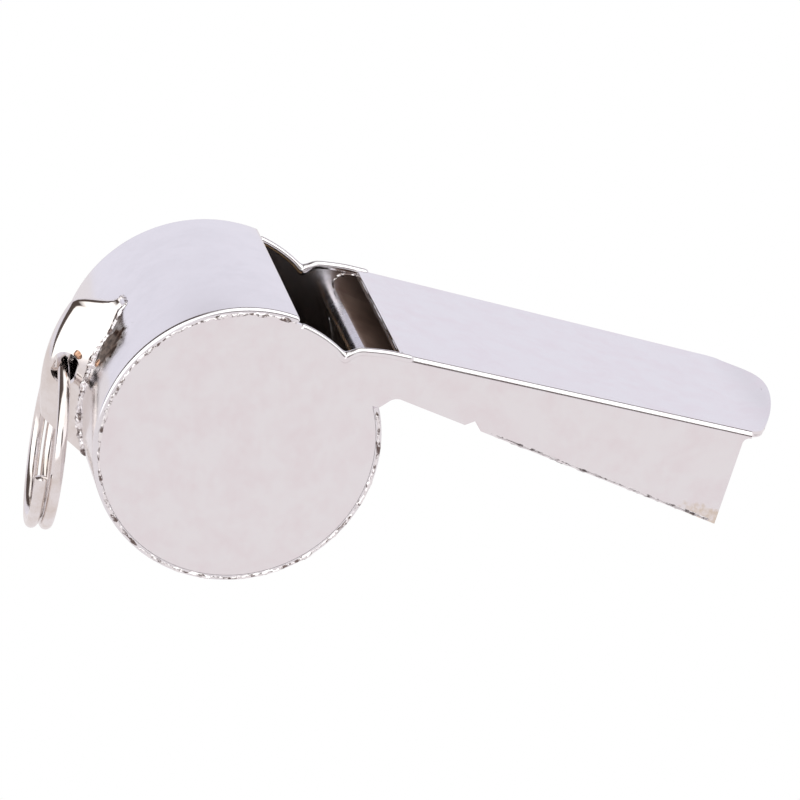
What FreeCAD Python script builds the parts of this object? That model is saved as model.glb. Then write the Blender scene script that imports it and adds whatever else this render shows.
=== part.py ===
"""Sheet-metal pea whistle: folded shell, wrapped band, ring lug, braze seams, cork ball and split ring.

Every piece is drawn in the whistle's own frame: the barrel's axis is Y, the mouthpiece roof is level and the
mouthpiece points along +X. One placement then leans the whole whistle forward until the barrel and the lower
front edge of the mouthpiece stand on one level surface. Millimetres and degrees.
"""
import FreeCAD, Part
import Sketcher
import math
import os

V = FreeCAD.Vector
Y_AXIS = V(0, 1, 0)

DIMENSIONS = [
    # name, value
    ("barrel_radius", 10.5),        # outside of the wrapped band
    ("sheet", 0.45),                # thickness of the shell and the band
    ("lug_sheet", 0.4),             # thickness of the lug's own pressing
    ("seat_gap", 0.02),             # play between pieces that are brazed together
    ("shell_width", 19.1),          # over the side plates, at the barrel's axis
    ("side_taper", 1.85),           # lean of each side plate towards the mouthpiece tip
    ("roof_step", 1.24),            # roof's upper face below the barrel's top
    ("fold_radius", 0.48),          # outside radius of the folds between roof and side plates
    ("roof_start", 9.57),           # rear edge of the roof, at the sound window
    ("tip_reach", 36.6),            # front edge of the side plates
    ("tip_drop", 7.47),             # depth of the side plates at the tip
    ("throat_gap", 0.92),           # throat's corner ahead of the side plates' meeting with the band
    ("throat_rise", 0.99),          # and above it
    ("throat_fillet", 0.9),         # round at that end
    ("relief_reach", 16.4),         # small relief in the lower edge of the side plates
    ("relief_width", 1.3),
    ("relief_height", 0.55),
    ("ear_reach", 8.6),             # where the side plate's upper edge meets the roof's level
    ("ear_nose", 6.4),              # front of the window notch, at the ear
    ("ear_drop", 0.3),              # how far the ear's nose lies below the roof's level
    ("notch_reach", 5.3),           # bottom of the window notch
    ("notch_drop", 0.95),
    ("lip_overhang", 3.35),         # roof's turned-up lip, beyond the side plates
    ("lip_roll", 3.7),              # radius of the lip's upward turn, on its upper face
    ("lip_turn", 60.0),             # how far the lip's blank turns, past its trimmed front edge
    ("lip_inset", 0.36),            # lip's side, inside the side plate's outer face
    ("lip_crown", 16.0),            # radius of the lip's front edge, seen from above
    ("lip_corner", 1.5),            # radius of the lip's corners, seen from above
    ("brow_radius", 0.55),          # round under the lip, at the side plates' front edge
    ("window_angle", 81.5),         # band's edge at the sound window, above the forward direction
    ("band_front_angle", 28.0),     # where the band stops covering the discs' rims
    ("band_end_gap", 1.0),          # side plates leave the band this much further on, in degrees
    ("shoulder_chamfer", 0.3),      # on the band's two outer rims
    ("lip_bend", 0.35),             # inside radius of the bend from barrel wall to floor
    ("floor_rake", 1.145),          # floor steeper than the side plates' lower edge
    ("pea_diameter", 11.0),
    ("pea_play", 0.3),              # between ball and barrel wall
    ("lug_half_width", 2.5),        # at the foot
    ("lug_rise", 2.88),             # ridge above the band
    ("lug_top_angle", 149.0),       # upper end of the lug, round the barrel from the forward direction
    ("lug_shoulder_angle", 160.0),  # where the ridge reaches its full rise
    ("lug_cut_angle", 198.5),       # where the cut lower end leaves the ridge
    ("lug_foot_angle", 213.5),      # where the cut lower end meets the band
    ("lug_top_width", 0.3),         # share of the full half width, at the lug's top end
    ("lug_top_rise", 0.15),         # share of the full rise, at the lug's top end
    ("lug_ridge_fall", 0.45),       # loss of rise towards the lug's foot
    ("lug_ridge_radius", 0.7),
    ("eye_rise", 1.45),             # centre of the lug's eye above the band
    ("eye_angle", 179.3),
    ("eye_width", 1.7),             # across the lug
    ("eye_height", 2.4),            # round the barrel
    ("ring_wire", 0.9),             # wire diameter of the split ring
    ("ring_outside", 13.2),         # outside diameter of the split ring
    ("ring_step", 1.34),            # from one turn to the next
    ("ring_first_end", 264.0),      # wire before the eye, in degrees of turn
    ("ring_last_end", 272.0),       # wire past the eye
    ("ring_lean", 98.0),            # ring's fall line, turned from straight out of the barrel
    ("ring_yaw", 4.0),              # turn of the ring about its own fall line
    ("barrel_bead_inset", 0.25),    # barrel seams, inside the band's bore
    ("barrel_bead_rise", 0.2),      # barrel seams, above the side plates
    ("barrel_bead_flank", 0.1),     # width of each sloping side of a barrel seam
    ("mouth_bead", 0.3),            # bead radius, mouthpiece seams
    ("mouth_bead_rise", 0.16),      # mouthpiece seams, below the side plates' edges
    ("mouth_bead_gap", 0.75),       # mouthpiece seams' start, ahead of the relief
    ("mouth_bead_setback", 0.5),    # from the tip
    ("lug_bead", 0.45),             # width of the lug seam
    ("lug_bead_rise", 0.32),
]

# ------------------------------------------------------------------------------------ document and sheet
doc = FreeCAD.newDocument("whistle")
sheet = doc.addObject("Spreadsheet::Sheet", "dims")
for row, (name, value) in enumerate(DIMENSIONS, start=1):
    sheet.set("A%d" % row, name)
    sheet.set("B%d" % row, repr(value))
    sheet.setAlias("B%d" % row, name)
# The roof keeps its step below the barrel's top.
roof_row = len(DIMENSIONS) + 1
sheet.set("A%d" % roof_row, "roof_height")
sheet.set("B%d" % roof_row, "=barrel_radius - roof_step")
sheet.setAlias("B%d" % roof_row, "roof_height")
doc.recompute()


def val(name):
    """Plain number of a named dimension."""
    return float(sheet.get(name))


def polar(radius, degrees):
    """Point of the XZ plane, from the barrel's axis; 0 degrees is forward, 90 is up."""
    a = math.radians(degrees)
    return V(radius * math.cos(a), 0, radius * math.sin(a))


barrel_radius = val("barrel_radius")
sheet_thickness = val("sheet")
half_width = val("shell_width") / 2
taper = math.tan(math.radians(val("side_taper")))
roof_height = val("roof_height")
tip_reach = val("tip_reach")
tip_corner = V(tip_reach, 0, roof_height - val("tip_drop"))
bore_radius = barrel_radius - sheet_thickness
band_end = polar(barrel_radius, val("band_front_angle") + val("band_end_gap"))
throat_corner = V(band_end.x + val("throat_gap"), 0, band_end.z + val("throat_rise"))
edge_slope = (throat_corner.z - tip_corner.z) / (tip_corner.x - throat_corner.x)
lip_reach = tip_reach + val("lip_overhang")


def side_at(x):
    """Distance of a side plate's outer face from the middle plane."""
    return half_width - taper * x


# ---------------------------------------------------------------------------------- standing placement
tip_distance = math.hypot(tip_corner.x, tip_corner.z)
stand_angle = math.degrees(math.atan2(tip_corner.z, tip_corner.x) + math.asin(barrel_radius / tip_distance))
STAND = FreeCAD.Placement(V(0, 0, barrel_radius), FreeCAD.Rotation(Y_AXIS, stand_angle))


# --------------------------------------------------------------------------------------------- helpers
def new_body(name):
    body = doc.addObject("PartDesign::Body", name)
    body.Label = name
    return body


def origin_plane(body, role):
    for feature in body.Origin.OriginFeatures:
        if feature.Role == role:
            return feature
    raise RuntimeError("no plane %s" % role)


def new_sketch(body, name, role, height=None):
    sketch = body.newObject("Sketcher::SketchObject", name)
    sketch.AttachmentSupport = [(origin_plane(body, role), "")]
    sketch.MapMode = "FlatFace"
    if height is not None:
        sketch.setExpression("AttachmentOffset.Base.z", height)
    return sketch


def bind(sketch, constraint, name, expression):
    """Add a named driving constraint and tie its value to the sheet."""
    index = sketch.addConstraint(constraint)
    sketch.renameConstraint(index, name)
    sketch.setExpression("Constraints." + name, expression)
    return index


def evaluate(expression):
    """Number that an expression of the sheet has now, for a sketch's first guess."""
    cell = "D1"
    sheet.set(cell, "=" + expression.replace("dims.", ""))
    sheet.recompute()
    result = sheet.get(cell)
    sheet.set(cell, "")
    return float(getattr(result, "Value", result))


def polygon(sketch, corners, label="p"):
    """Closed outline whose corners are pairs of expressions."""
    points = [V(evaluate(x), evaluate(y), 0) for x, y in corners]
    first = sketch.GeometryCount
    count = len(points)
    for i in range(count):
        sketch.addGeometry(Part.LineSegment(points[i], points[(i + 1) % count]), False)
    for i in range(count):
        following = first + (i + 1) % count
        sketch.addConstraint(Sketcher.Constraint("Coincident", first + i, 2, following, 1))
    for i, (x, y) in enumerate(corners):
        for kind, expression, value in (("DistanceX", x, points[i].x), ("DistanceY", y, points[i].y)):
            if abs(value) < 1e-9:
                axis = -2 if kind == "DistanceX" else -1
                sketch.addConstraint(Sketcher.Constraint("PointOnObject", first + i, 1, axis))
                continue
            constraint = Sketcher.Constraint(kind, -1, 1, first + i, 1, value)
            bind(sketch, constraint, "%s%d%s" % (label, i, kind[-1]), expression)
    return first


def circle(sketch, expression, label):
    """Circle about the sketch's origin."""
    index = sketch.addGeometry(Part.Circle(V(0, 0, 0), V(0, 0, 1), evaluate(expression)), False)
    sketch.addConstraint(Sketcher.Constraint("Coincident", index, 3, -1, 1))
    bind(sketch, Sketcher.Constraint("Radius", index, evaluate(expression)), label, expression)
    return index


def pad_both_sides(body, name, sketch, width):
    pad = body.newObject("PartDesign::Pad", name)
    pad.Profile = sketch
    pad.Midplane = True
    pad.setExpression("Length", width)
    doc.recompute()
    return pad


def pocket(body, name, sketch, both=False, upward=False):
    """Cut through everything: to both sides of the sketch, or to one."""
    before = body.Shape.Volume
    cut = body.newObject("PartDesign::Pocket", name)
    cut.Profile = sketch
    cut.Type = 1
    cut.Midplane = both
    cut.Reversed = upward
    doc.recompute()
    if not body.Shape.Volume < before - 1e-6:
        raise RuntimeError("%s cuts nothing" % name)
    return cut


def dress_edges(body, kind, name, size, wanted):
    """Fillet or chamfer the edges whose middle and ends all satisfy the test."""
    shape = body.Tip.Shape
    names = []
    for i, edge in enumerate(shape.Edges, start=1):
        first, last = edge.ParameterRange
        samples = [edge.valueAt(first + (last - first) * share) for share in (0.0, 0.5, 1.0)]
        if all(wanted(p) for p in samples):
            names.append("Edge%d" % i)
    if not names:
        raise RuntimeError("%s finds no edge" % name)
    dress = body.newObject("PartDesign::" + kind, name)
    dress.Base = (body.Tip if body.Tip != dress else dress.BaseFeature, names)
    dress.setExpression("Radius" if kind == "Fillet" else "Size", size)
    doc.recompute()
    return dress


# width of both plan strips below, beyond the widest place of the plates
SIDE_AT = "(dims.shell_width / 2 - tan(dims.side_taper) * (%s))"
OUT = "dims.shell_width"


def side_strips(sketch, rear, front, inset):
    """Two plan strips outside the side plates' faces moved in by inset, from rear to front."""
    near_rear = "(%s - (%s))" % (SIDE_AT % rear, inset)
    near_front = "(%s - (%s))" % (SIDE_AT % front, inset)
    polygon(sketch, [(rear, near_rear), (front, near_front), (front, OUT), (rear, OUT)], "u")
    polygon(sketch, [(rear, "-" + OUT), (front, "-" + OUT), (front, "-" + near_front), (rear, "-" + near_rear)],
            "l")


def inner_plan(sketch, rear, front):
    """Plan of the space between the side plates, from rear to front."""
    rear_side = "(%s - dims.sheet)" % (SIDE_AT % rear)
    front_side = "(%s - dims.sheet)" % (SIDE_AT % front)
    polygon(sketch, [(rear, "-" + rear_side), (front, "-" + front_side), (front, front_side), (rear, rear_side)],
            "c")


BEHIND = "(-2 * dims.barrel_radius)"
LIP_REACH = "(dims.tip_reach + dims.lip_overhang)"
AHEAD = "(%s + 2 * dims.sheet)" % LIP_REACH
LIP_START = "(dims.tip_reach + dims.brow_radius)"

# ------------------------------------------------------------------------------------------------ shell
# The two keyhole plates and the roof, as one folded sheet.
shell = new_body("folded_shell")

disc_outline = new_sketch(shell, "disc_outline", "XZ_Plane")
circle(disc_outline, "dims.barrel_radius - dims.sheet - dims.seat_gap", "disc")
pad_both_sides(shell, "discs", disc_outline, "2 * dims.shell_width")

mouth_outline = new_sketch(shell, "mouth_outline", "XZ_Plane")
BAND_END_X = "dims.barrel_radius * cos(dims.band_front_angle + dims.band_end_gap)"
BAND_END_Z = "dims.barrel_radius * sin(dims.band_front_angle + dims.band_end_gap)"
THROAT_X = "(%s + dims.throat_gap)" % BAND_END_X
THROAT_Z = "(%s + dims.throat_rise)" % BAND_END_Z
TIP_Z = "(dims.roof_height - dims.tip_drop)"
EDGE_SLOPE = "((%s - %s) / (dims.tip_reach - %s))" % (THROAT_Z, TIP_Z, THROAT_X)
RELIEF_Z = "(%s - %s * (dims.relief_reach - %s))" % (THROAT_Z, EDGE_SLOPE, THROAT_X)
polygon(mouth_outline, [
    ("dims.barrel_radius / 2", BAND_END_Z),
    (BAND_END_X, BAND_END_Z),
    (THROAT_X, THROAT_Z),
    ("dims.relief_reach - dims.relief_width / 2", "%s + %s * dims.relief_width / 2" % (RELIEF_Z, EDGE_SLOPE)),
    ("dims.relief_reach", "%s + dims.relief_height" % RELIEF_Z),
    ("dims.relief_reach + dims.relief_width / 2",
     "%s - %s * dims.relief_width / 2" % (RELIEF_Z, EDGE_SLOPE)),
    ("dims.tip_reach", TIP_Z),
    ("dims.tip_reach", "dims.roof_height - dims.sheet"),
    (LIP_START, "dims.roof_height - dims.sheet"),
    (LIP_START, "dims.roof_height"),
    ("dims.ear_reach", "dims.roof_height"),
    ("dims.ear_nose", "dims.roof_height - dims.ear_drop"),
    ("dims.notch_reach", "dims.roof_height - dims.notch_drop"),
    ("dims.barrel_radius / 4", "dims.barrel_radius / 2"),
])
pad_both_sides(shell, "mouthpiece", mouth_outline, "2 * dims.shell_width")


def near_xz(x, z, reach=0.2):
    """Test for a point whose X and Z are close to the given ones."""
    return lambda p: abs(p.x - x) < reach and abs(p.z - z) < reach


dress_edges(shell, "Fillet", "throat_round", "dims.throat_fillet",
             near_xz(throat_corner.x, throat_corner.z))
dress_edges(shell, "Fillet", "brow_round", "dims.brow_radius * 0.9",
             near_xz(tip_reach, roof_height - sheet_thickness))

outer_strips = new_sketch(shell, "outer_strips", "XY_Plane")
side_strips(outer_strips, BEHIND, AHEAD, "0")
pocket(shell, "outer_faces", outer_strips, both=True)


def on_fold(p):
    return abs(p.z - roof_height) < 1e-3 and abs(abs(p.y) - side_at(p.x)) < 1e-3


dress_edges(shell, "Fillet", "folds", "dims.fold_radius", on_fold)

windway = new_sketch(shell, "windway_plan", "XY_Plane", "dims.roof_height - dims.sheet")
inner_plan(windway, "dims.roof_start", AHEAD)
pocket(shell, "windway", windway)

chamber = new_sketch(shell, "chamber_plan", "XY_Plane")
inner_plan(chamber, BEHIND, "dims.roof_start")
pocket(shell, "chamber", chamber, both=True)


# The roof's lip, beyond the side plates: it turns up, and its front edge is crowned with round corners.
UP = V(0, 0, 1)
C = Sketcher.Constraint


def arc(centre, radius, start, end):
    return Part.ArcOfCircle(Part.Circle(centre, UP, radius), start, end)


roll = new_sketch(shell, "lip_roll", "XZ_Plane")
lip_start = evaluate(LIP_START)
roll_radius = val("lip_roll")
roll_end = math.radians(val("lip_turn") - 90)
roll_centre = V(lip_start, roof_height + roll_radius, 0)
outer_roll = roll_radius + sheet_thickness
end_line = V(math.cos(roll_end), math.sin(roll_end), 0)
roll_parts = [
    arc(roll_centre, roll_radius, -math.pi / 2, roll_end),
    Part.LineSegment(roll_centre + end_line * roll_radius, roll_centre + end_line * outer_roll),
    arc(roll_centre, outer_roll, -math.pi / 2, roll_end),
    Part.LineSegment(roll_centre - V(0, outer_roll, 0), roll_centre - V(0, roll_radius, 0)),
]
for piece in roll_parts:
    roll.addGeometry(piece, False)
roll.addConstraint([
    C("Coincident", 0, 3, 2, 3),
    C("Coincident", 0, 2, 1, 1),
    C("Coincident", 1, 2, 2, 2),
    C("Coincident", 2, 1, 3, 1),
    C("Coincident", 3, 2, 0, 1),
    C("Vertical", 3),
    C("PointOnObject", 0, 3, 1),
])
bind(roll, C("DistanceX", -1, 1, 0, 3, roll_centre.x), "start", LIP_START)
bind(roll, C("DistanceY", -1, 1, 0, 3, roll_centre.y), "centre", "dims.roof_height + dims.lip_roll")
bind(roll, C("DistanceX", -1, 1, 3, 1, roll_centre.x), "root", LIP_START)
bind(roll, C("Radius", 0, roll_radius), "upper", "dims.lip_roll")
bind(roll, C("Radius", 2, outer_roll), "lower", "dims.lip_roll + dims.sheet")
bind(roll, C("Angle", 1, roll_end), "turn", "dims.lip_turn - 90")
pad_both_sides(shell, "turned_up_lip", roll, "2 * dims.shell_width")

trim = new_sketch(shell, "lip_trim", "XY_Plane")
crown = val("lip_crown")
corner = val("lip_corner")
ahead = evaluate(AHEAD)
aside = evaluate(OUT)
crown_centre = V(lip_reach - crown, 0, 0)
corner_y = side_at(lip_start) - val("lip_inset") - corner
corner_x = crown_centre.x + math.sqrt((crown - corner) ** 2 - corner_y ** 2)
meet = math.atan2(corner_y, corner_x - crown_centre.x)
corner_end = math.acos((lip_start - corner_x) / corner)
lip_side = corner_y + corner * math.sin(corner_end)
outline = [(lip_start, -lip_side), (lip_start, -aside), (ahead, -aside), (ahead, aside), (lip_start, aside),
           (lip_start, lip_side)]
outline = [V(x, y, 0) for x, y in outline]
trim_parts = [
    arc(V(corner_x, corner_y, 0), corner, meet, corner_end),
    arc(crown_centre, crown, -meet, meet),
    arc(V(corner_x, -corner_y, 0), corner, -corner_end, -meet),
]
trim_parts += [Part.LineSegment(start, end) for start, end in zip(outline, outline[1:])]
for piece in trim_parts:
    trim.addGeometry(piece, False)
trim.addConstraint([
    C("Tangent", 0, 1, 1, 2),
    C("Tangent", 2, 2, 1, 1),
    C("Coincident", 2, 1, 3, 1),
    C("Coincident", 3, 2, 4, 1),
    C("Coincident", 4, 2, 5, 1),
    C("Coincident", 5, 2, 6, 1),
    C("Coincident", 6, 2, 7, 1),
    C("Coincident", 7, 2, 0, 2),
    C("Vertical", 3),
    C("Horizontal", 4),
    C("Vertical", 5),
    C("Horizontal", 6),
    C("Vertical", 7),
    C("Symmetric", 3, 2, 7, 1, -1),
    C("Vertical", 0, 3, 2, 3),
    C("Equal", 0, 2),
    C("PointOnObject", 1, 3, -1),
])
bind(trim, C("DistanceX", -1, 1, 3, 1, lip_start), "start", LIP_START)
bind(trim, C("DistanceX", -1, 1, 5, 1, ahead), "ahead", AHEAD)
bind(trim, C("DistanceY", -1, 1, 7, 1, aside), "aside", OUT)
bind(trim, C("DistanceY", -1, 1, 0, 3, corner_y), "side",
     "%s - dims.lip_inset - dims.lip_corner" % (SIDE_AT % LIP_START))
bind(trim, C("Radius", 1, crown), "crown", "dims.lip_crown")
bind(trim, C("Radius", 0, corner), "corner", "dims.lip_corner")
bind(trim, C("DistanceX", -1, 1, 1, 3, crown_centre.x), "front", "%s - dims.lip_crown" % LIP_REACH)
pocket(shell, "lip_edge", trim, both=True)

# ------------------------------------------------------------------------------------------------- band
# One strip: barrel wall, the folded edge of the windway, and the mouthpiece floor.
band = new_body("wrapped_band")
strip = new_sketch(band, "strip_outline", "XZ_Plane")
window_angle = math.radians(val("window_angle"))
bend = val("lip_bend")
slope = math.atan(edge_slope) + math.radians(val("floor_rake"))
along = V(math.cos(slope), -math.sin(slope), 0)
across = V(math.sin(slope), math.cos(slope), 0)
floor_foot = V(tip_reach, tip_corner.z, 0)
floor_tip = floor_foot + V(0, sheet_thickness / math.cos(slope), 0)
centre_level = across.dot(floor_foot) - bend
centre_along = math.sqrt((barrel_radius + bend) ** 2 - centre_level ** 2)
bend_centre = along * centre_along + across * centre_level
bend_angle = math.atan2(bend_centre.y, bend_centre.x)
normal_angle = math.pi / 2 - slope
floor_low = bend_centre + across * bend
floor_high = bend_centre + across * (bend + sheet_thickness)
ORIGIN = V(0, 0, 0)
strip_parts = [
    arc(ORIGIN, barrel_radius, window_angle, bend_angle + 2 * math.pi),
    arc(bend_centre, bend, normal_angle, bend_angle + math.pi),
    Part.LineSegment(floor_low, floor_foot),
    Part.LineSegment(floor_foot, floor_tip),
    Part.LineSegment(floor_tip, floor_high),
    arc(bend_centre, bend + sheet_thickness, normal_angle, bend_angle + math.pi),
    arc(ORIGIN, bore_radius, window_angle, bend_angle + 2 * math.pi),
    Part.LineSegment(V(bore_radius * math.cos(window_angle), bore_radius * math.sin(window_angle), 0),
                     V(barrel_radius * math.cos(window_angle), barrel_radius * math.sin(window_angle), 0)),
]
for piece in strip_parts:
    strip.addGeometry(piece, False)
strip.addConstraint([
    C("Coincident", 0, 3, -1, 1),
    C("Coincident", 6, 3, -1, 1),
    C("Coincident", 1, 3, 5, 3),
    C("Tangent", 0, 2, 1, 2),
    C("Tangent", 6, 2, 5, 2),
    C("Tangent", 1, 1, 2, 1),
    C("Tangent", 5, 1, 4, 2),
    C("Coincident", 2, 2, 3, 1),
    C("Coincident", 3, 2, 4, 1),
    C("Vertical", 3),
    C("Parallel", 2, 4),
    C("Coincident", 7, 1, 6, 1),
    C("Coincident", 7, 2, 0, 1),
    C("PointOnObject", -1, 1, 7),
])
bind(strip, C("Radius", 0, barrel_radius), "outside", "dims.barrel_radius")
bind(strip, C("Radius", 6, bore_radius), "bore", "dims.barrel_radius - dims.sheet")
bind(strip, C("Radius", 1, bend), "bend", "dims.lip_bend")
bind(strip, C("Angle", 7, window_angle), "window", "dims.window_angle")
bind(strip, C("Angle", 2, -slope), "slope", "-(atan(%s) + dims.floor_rake * 1 deg)" % EDGE_SLOPE)
bind(strip, C("DistanceX", -1, 1, 3, 1, floor_foot.x), "tip", "dims.tip_reach")
bind(strip, C("DistanceY", -1, 1, 3, 1, floor_foot.y), "floor", TIP_Z)
pad_both_sides(band, "strip", strip, "2 * dims.shell_width")

band_strips = new_sketch(band, "outer_strips", "XY_Plane")
side_strips(band_strips, BEHIND, AHEAD, "0")
pocket(band, "outer_edges", band_strips, both=True)


# Sloping shoulders where the wall meets the side plates' faces: one turned cut and its mirror image.
shoulder = new_sketch(band, "shoulder_profile", "XY_Plane")
REAR = "(-dims.barrel_radius)"
REAR_SIDE = "(%s)" % (SIDE_AT % REAR)
polygon(shoulder, [
    (REAR + " + 2 * dims.shoulder_chamfer", REAR_SIDE + " + dims.shoulder_chamfer"),
    (REAR + " - dims.shoulder_chamfer", REAR_SIDE + " + dims.shoulder_chamfer"),
    (REAR + " - dims.shoulder_chamfer", REAR_SIDE + " - 2 * dims.shoulder_chamfer"),
])
lean = math.radians(val("side_taper"))
axis_start = V(0, half_width, 0)
axis_end = axis_start + V(math.sin(lean), math.cos(lean), 0) * sheet_thickness
axis = shoulder.addGeometry(Part.LineSegment(axis_start, axis_end), True)
shoulder.addConstraint(C("PointOnObject", axis, 1, -2))
bind(shoulder, C("DistanceY", -1, 1, axis, 1, half_width), "face", "dims.shell_width / 2")
bind(shoulder, C("Distance", axis, sheet_thickness), "length", "dims.sheet")
bind(shoulder, C("Angle", axis, math.pi / 2 - lean), "lean", "90 - dims.side_taper")
before = band.Shape.Volume
turned = band.newObject("PartDesign::Groove", "shoulder")
turned.Profile = shoulder
turned.ReferenceAxis = (shoulder, ["Axis0"])
turned.Angle = 360
doc.recompute()
twin = band.newObject("PartDesign::Mirrored", "shoulder_mirror")
twin.Originals = [turned]
twin.MirrorPlane = (origin_plane(band, "XZ_Plane"), [""])
band.Tip = twin
doc.recompute()
if not band.Shape.Volume < before - sheet_thickness ** 3:
    raise RuntimeError("the shoulders cut nothing")

FLOOR_INSET = "dims.sheet + dims.seat_gap"
floor_strips = new_sketch(band, "floor_strips", "XY_Plane")
side_strips(floor_strips, "(dims.barrel_radius + dims.seat_gap)", AHEAD, FLOOR_INSET)
pocket(band, "floor_edges", floor_strips, both=True)
lip_strips = new_sketch(band, "lip_strips", "XY_Plane", "dims.barrel_radius * sin(dims.band_front_angle)")
side_strips(lip_strips, "(dims.barrel_radius / 2)", AHEAD, FLOOR_INSET)
pocket(band, "lip_edges", lip_strips, upward=True)

# ------------------------------------------------------------------------------------------ cork ball
pea_radius = val("pea_diameter") / 2
pea_orbit = bore_radius - val("pea_play") - pea_radius
pea = doc.addObject("Part::Sphere", "cork_ball")
pea.Label = "cork_ball"
pea.setExpression("Radius", "dims.pea_diameter / 2")
pea_place = FreeCAD.Placement(V(0, 0, barrel_radius - pea_orbit), FreeCAD.Rotation())

# ------------------------------------------------------------------------------------------------- lug
# A pressed peak with a rounded ridge, drawn as radial sections round the barrel, from its top to its cut foot.
top_angle = val("lug_top_angle")
shoulder_angle = val("lug_shoulder_angle")
cut_angle = val("lug_cut_angle")
foot_angle = val("lug_foot_angle")
lug_width = val("lug_half_width")
lug_rise = val("lug_rise")
ridge_radius = val("lug_ridge_radius")
lug_sheet = val("lug_sheet")
top_width = val("lug_top_width")
top_rise = val("lug_top_rise")


def ease(share):
    """Smooth rise from 0 to 1."""
    share = min(max(share, 0.0), 1.0)
    return share * share * (3 - 2 * share)


def lug_size(angle):
    """Half width and rise of the lug at an angle round the barrel."""
    share = ease((angle - top_angle) / (shoulder_angle - top_angle))
    drop = val("lug_ridge_fall") * ease((angle - shoulder_angle) / (foot_angle - shoulder_angle))
    width = lug_width * (top_width + (1 - top_width) * share)
    rise = lug_rise * (top_rise + (1 - top_rise) * share) - drop
    return width, rise


def radial_point(radius, y, angle):
    p = polar(radius, angle)
    return V(p.x, y, p.z)


def peak_section(angle, half, rise, ridge):
    """Closed outline: foot inside the wall, two flanks and a rounded ridge tangent to them."""
    ridge = min(ridge, 0.45 * rise)
    centre = rise - ridge
    flank = math.atan2(centre, half) + math.asin(ridge / math.hypot(half, centre))
    reach = ridge * math.sin(flank)
    root = sheet_thickness
    foot = half + root / math.tan(flank)
    points = [
        radial_point(barrel_radius - root, -foot, angle),
        radial_point(barrel_radius - root, foot, angle),
        radial_point(barrel_radius + centre + ridge * math.cos(flank), reach, angle),
        radial_point(barrel_radius + centre + ridge, 0, angle),
        radial_point(barrel_radius + centre + ridge * math.cos(flank), -reach, angle),
    ]
    edges = [
        Part.makeLine(points[0], points[1]),
        Part.makeLine(points[1], points[2]),
        Part.Arc(points[2], points[3], points[4]).toShape(),
        Part.makeLine(points[4], points[0]),
    ]
    return Part.Wire(edges)


def peak(angles, inset):
    sections = []
    for angle in angles:
        half, rise = lug_size(angle)
        depth = half * rise / math.hypot(half, rise)
        keep = 1 - inset / depth
        sections.append(peak_section(angle, half * keep, rise * keep, max(ridge_radius - inset, 0.2)))
    return Part.makeLoft(sections, True, True)


rising = [top_angle + (shoulder_angle - top_angle) * i / 5 for i in range(6)]
level = [shoulder_angle + (foot_angle + 6 - shoulder_angle) * i / 5 for i in range(1, 6)]
outside = peak(rising + level, 0)
inside = peak(rising[2:] + level, lug_sheet)
wall_axis = V(0, -val("shell_width"), 0)
wall = Part.makeCylinder(barrel_radius, 2 * val("shell_width"), wall_axis, Y_AXIS)

cut_high = polar(barrel_radius + 0.9 * lug_rise, cut_angle)
cut_low = polar(barrel_radius, foot_angle)
cut_line = (cut_low - cut_high).normalize()
cut_high = cut_high - cut_line * lug_rise
cut_low = cut_low + cut_line * lug_rise
below = Y_AXIS.cross(cut_line) * (2 * lug_rise)
if below.z > 0:
    below = below * -1
corners = [cut_high, cut_low, cut_low + below, cut_high + below, cut_high]
corners = [V(p.x, -lug_width * 2, p.z) for p in corners]
foot_cut = Part.Face(Part.makePolygon(corners)).extrude(V(0, 4 * lug_width, 0))

eye_centre = polar(barrel_radius + val("eye_rise"), val("eye_angle"))
eye_half = (val("eye_height") - val("eye_width")) / 2
eye_up = polar(1, val("eye_angle") - 90) * eye_half


def cross_hole(centre, radius):
    start = V(centre.x, -2 * lug_width, centre.z)
    return Part.makeCylinder(radius, 4 * lug_width, start, Y_AXIS)


eye_radius = val("eye_width") / 2
eye_out = polar(eye_radius, val("eye_angle"))
slot_corners = [
    eye_centre + eye_up + eye_out, eye_centre - eye_up + eye_out,
    eye_centre - eye_up - eye_out, eye_centre + eye_up - eye_out, eye_centre + eye_up + eye_out,
]
slot = Part.Face(Part.makePolygon([V(p.x, -2 * lug_width, p.z) for p in slot_corners]))
slot = slot.extrude(V(0, 4 * lug_width, 0))
eye = slot.fuse([cross_hole(eye_centre + eye_up, eye_radius), cross_hole(eye_centre - eye_up, eye_radius)])
eye = eye.removeSplitter()

lug_shape = outside.cut(inside).cut(wall).cut(foot_cut).cut(eye)
lug_shape = max(lug_shape.Solids, key=lambda solid: solid.Volume)
lug = doc.addObject("Part::Feature", "ring_lug")
lug.Label = "ring_lug"
lug.Shape = lug_shape

# The bead of braze round the lug's foot.
bead_width = val("lug_bead")
bead_rise = val("lug_bead_rise")


def bead_section(angle):
    half, rise = lug_size(angle)
    root = 2 * sheet_thickness
    foot = half + bead_width
    crest = half + bead_width * 0.3
    points = [
        radial_point(barrel_radius - root, -foot, angle),
        radial_point(barrel_radius - root, foot, angle),
        radial_point(barrel_radius + val("seat_gap"), foot, angle),
        radial_point(barrel_radius + bead_rise, crest, angle),
        radial_point(barrel_radius + bead_rise, -crest, angle),
        radial_point(barrel_radius + val("seat_gap"), -foot, angle),
    ]
    return Part.makePolygon(points + [points[0]])


bead_angles = [top_angle - 2.5] + rising + level[:-1] + [level[-1] + 1]
skirt = Part.makeLoft([bead_section(a) for a in bead_angles], True, True)
skirt = skirt.cut(outside).cut(wall).cut(foot_cut)
skirt = max(skirt.Solids, key=lambda solid: solid.Volume)
lug_seam = doc.addObject("Part::Feature", "lug_seam")
lug_seam.Label = "lug_seam"
lug_seam.Shape = skirt

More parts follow.
